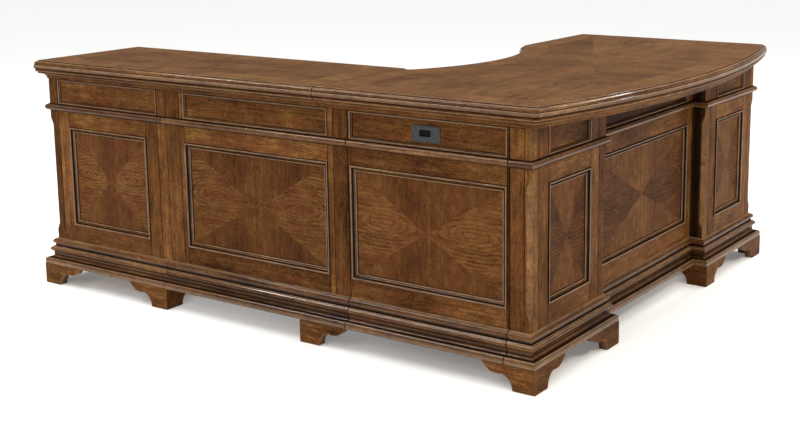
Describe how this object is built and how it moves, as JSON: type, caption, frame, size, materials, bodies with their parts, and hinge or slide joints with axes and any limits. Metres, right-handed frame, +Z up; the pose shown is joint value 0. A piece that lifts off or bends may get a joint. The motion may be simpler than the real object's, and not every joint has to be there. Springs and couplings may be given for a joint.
{
  "type": "corner desk",
  "caption": "L-shaped wooden executive desk: bow-front top with a scooped user edge, panelled return, pedestal drawers, waist bead, stepped base moulding and bracket feet.",
  "frame": {"origin": "middle of the footprint's bounding box, on the floor", "axes": "+X along the long panelled face towards the outside corner, +Y along the bowed visitor face away from that corner, +Z up"},
  "size_m": [2.0338, 1.63, 0.762],
  "materials": {
    "case_wood": "warm brown stained hardwood, satin lacquer",
    "top_veneer": "brown veneer with a banded border, satin lacquer",
    "panel_veneer": "matched figured veneer, satin lacquer",
    "moulding_wood": "stained hardwood with dark glaze in the grooves",
    "drawer_wood": "clear-sealed pale hardwood",
    "aged_brass": "antiqued",
    "black_plate": "satin black"
  },
  "bodies": {
    "carcase": {"centre_front_frame": "case_wood", "centre_front_panels": "panel_veneer", "desk_base_moulding": "moulding_wood", "desk_bead": "moulding_wood", "desk_crown": "moulding_wood", "desk_feet": "case_wood", "desk_subtop": "case_wood", "desk_top": "top_veneer", "drawer_runners": "drawer_wood", "end_panel_base_moulding": "moulding_wood", "end_panel_bead": "moulding_wood", "end_panel_frame": "case_wood", "end_panel_panels": "panel_veneer", "far_corner_post": "case_wood", "far_end_frame": "case_wood", "far_end_panels": "panel_veneer", "far_front_frame": "case_wood", "far_front_panels": "panel_veneer", "far_inner_post": "case_wood", "knee_back_frame": "case_wood", "knee_back_panels": "panel_veneer", "near_corner_post": "case_wood", "near_front_frame": "case_wood", "near_front_panels": "panel_veneer", "near_inner_post": "case_wood", "pedestal_bottom": "drawer_wood", "pedestal_face_frame": "case_wood", "pedestal_knee_side": "case_wood", "port_plate": "black_plate", "return_back_frame": "case_wood", "return_back_panels": "panel_veneer", "return_base_moulding": "moulding_wood", "return_bead": "moulding_wood", "return_bottom": "drawer_wood", "return_corner_post": "case_wood", "return_crown": "moulding_wood", "return_end_frame": "case_wood", "return_end_panels": "panel_veneer", "return_face_frame": "case_wood", "return_feet": "case_wood", "return_knee_side": "case_wood", "return_subtop": "case_wood", "return_top": "top_veneer"},
    "return_file_drawer": {"return_file_drawer_box": "drawer_wood", "return_file_drawer_front": "panel_veneer", "return_file_pull": "aged_brass"},
    "return_box_drawer": {"return_box_drawer_box": "drawer_wood", "return_box_drawer_front": "panel_veneer", "return_box_pull": "aged_brass"},
    "desk_file_drawer": {"desk_file_drawer_box": "drawer_wood", "desk_file_drawer_front": "panel_veneer", "desk_file_pull": "aged_brass"},
    "desk_middle_drawer": {"desk_middle_drawer_box": "drawer_wood", "desk_middle_drawer_front": "panel_veneer", "desk_middle_pull": "aged_brass"},
    "desk_upper_drawer": {"desk_upper_drawer_box": "drawer_wood", "desk_upper_drawer_front": "panel_veneer", "desk_upper_pull": "aged_brass"},
    "centre_drawer": {"centre_drawer_box": "drawer_wood", "centre_drawer_front": "panel_veneer"}
  },
  "joints": [
    {"name": "return_file_drawer_slide", "type": "slide", "parent": "carcase", "child": "return_file_drawer", "axis": [0, 1, 0], "range_m": [0, 0.29]},
    {"name": "return_box_drawer_slide", "type": "slide", "parent": "carcase", "child": "return_box_drawer", "axis": [0, 1, 0], "range_m": [0, 0.29]},
    {"name": "desk_file_drawer_slide", "type": "slide", "parent": "carcase", "child": "desk_file_drawer", "axis": [-1, 0, 0], "range_m": [0, 0.42]},
    {"name": "desk_middle_drawer_slide", "type": "slide", "parent": "carcase", "child": "desk_middle_drawer", "axis": [-1, 0, 0], "range_m": [0, 0.42]},
    {"name": "desk_upper_drawer_slide", "type": "slide", "parent": "carcase", "child": "desk_upper_drawer", "axis": [-1, 0, 0], "range_m": [0, 0.42]},
    {"name": "centre_drawer_slide", "type": "slide", "parent": "carcase", "child": "centre_drawer", "axis": [-1, 0, 0], "range_m": [0, 0.28]}
  ]
}
